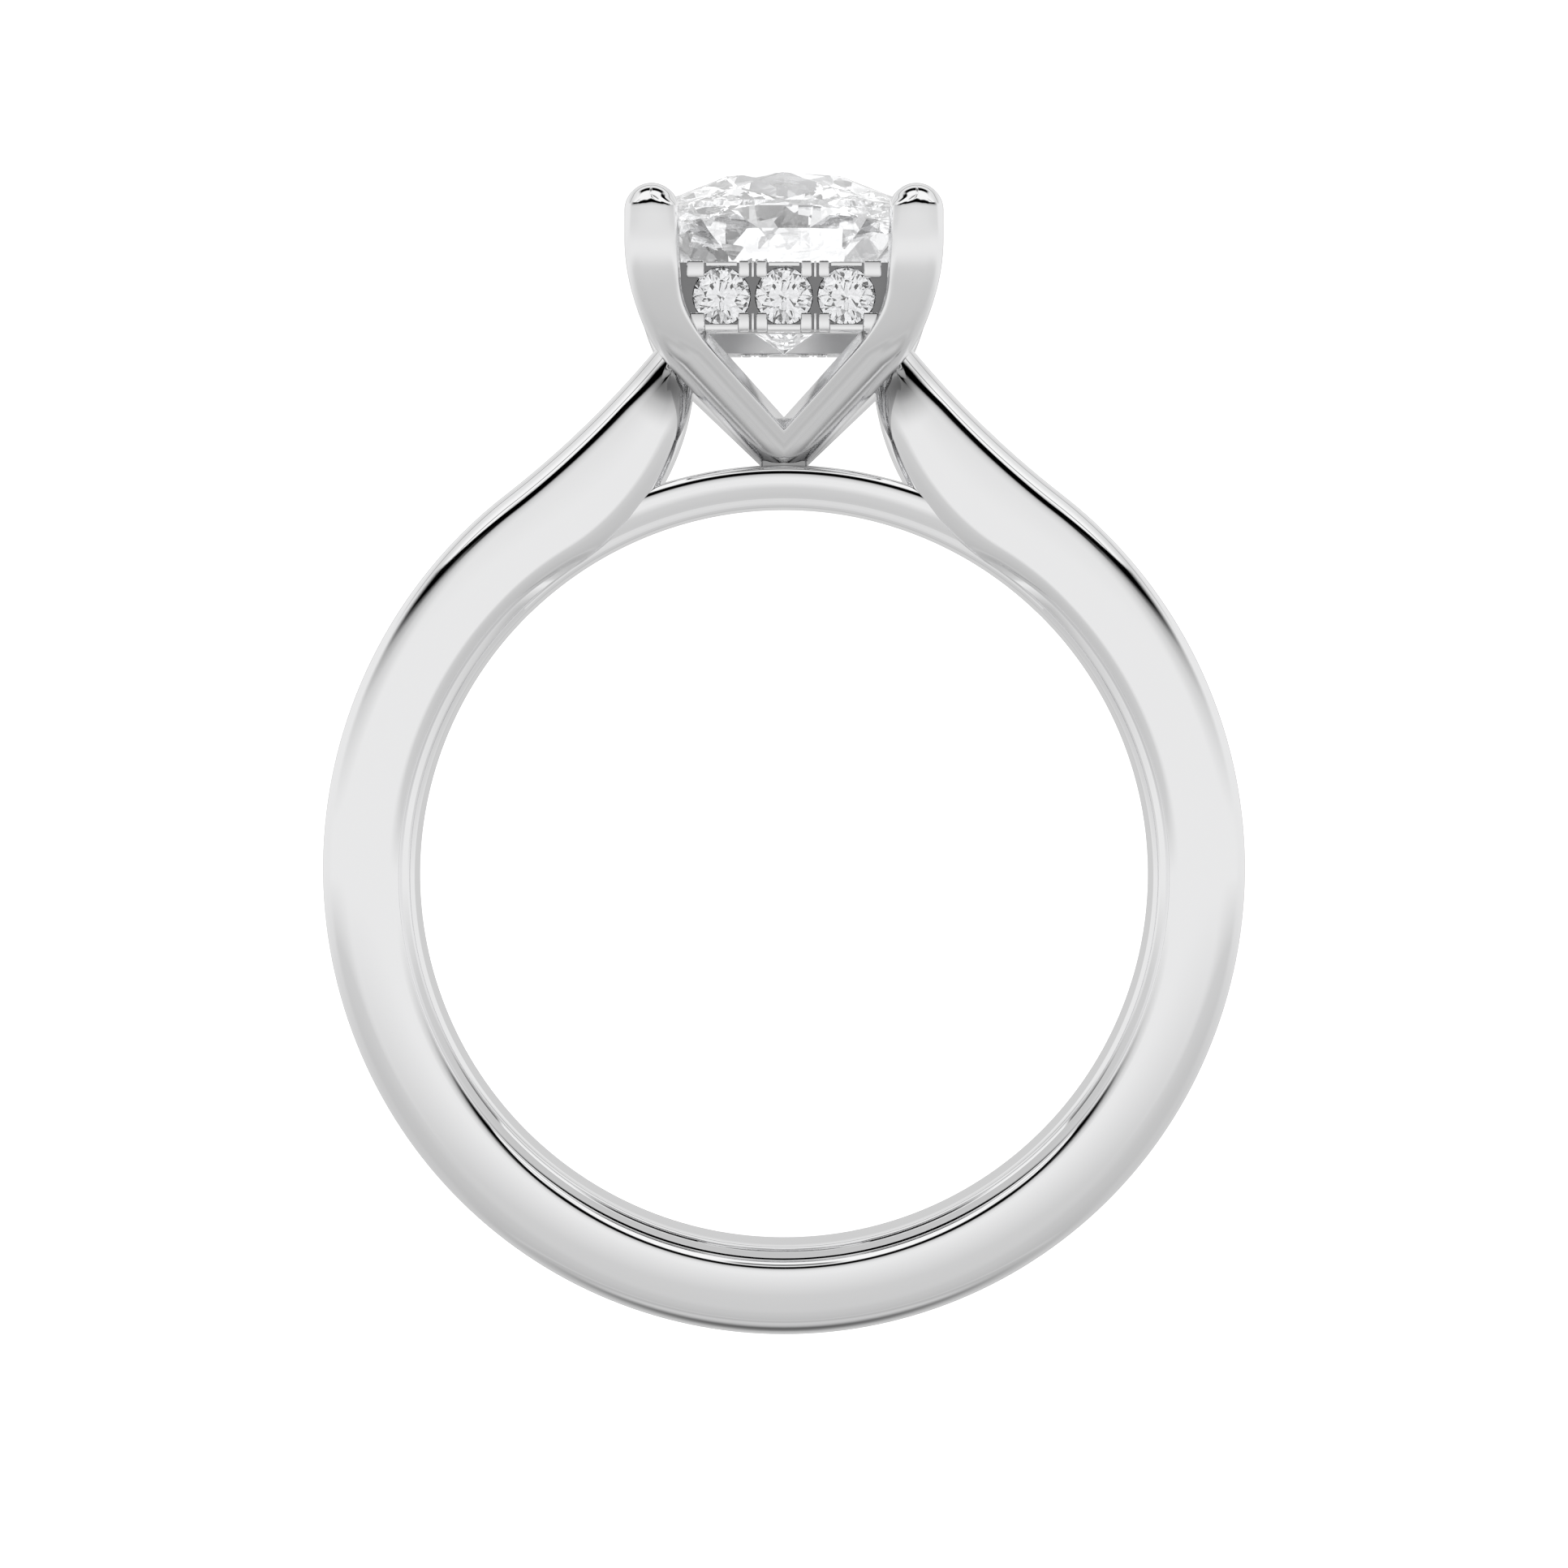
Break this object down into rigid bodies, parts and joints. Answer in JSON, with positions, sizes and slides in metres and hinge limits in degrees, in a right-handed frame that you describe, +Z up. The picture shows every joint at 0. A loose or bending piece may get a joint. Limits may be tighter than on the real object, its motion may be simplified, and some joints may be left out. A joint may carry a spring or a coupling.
{
  "type": "cathedral setting ring",
  "caption": "Finger ring in polished white metal with rising cathedral shoulders, a bridge, a four-prong head, a hidden halo and a cushion-cut centre stone.",
  "frame": {"origin": "on the surface that the ring lies on, under the middle of its bounding box", "axes": "+Z up, +Y from the band towards the head, +X to the right with the front of the ring facing up"},
  "size_m": [0.0208, 0.026, 0.007],
  "materials": {
    "white_metal": "mirror-polished white gold",
    "stone": "faceted clear stone"
  },
  "bodies": {
    "root": {"ring_mount": "white_metal", "center_stone": "stone", "halo_stone_01": "stone", "halo_stone_02": "stone", "halo_stone_03": "stone", "halo_stone_04": "stone", "halo_stone_05": "stone", "halo_stone_06": "stone", "halo_stone_07": "stone", "halo_stone_08": "stone", "halo_stone_09": "stone", "halo_stone_10": "stone", "halo_stone_11": "stone", "halo_stone_12": "stone"}
  },
  "joints": []
}
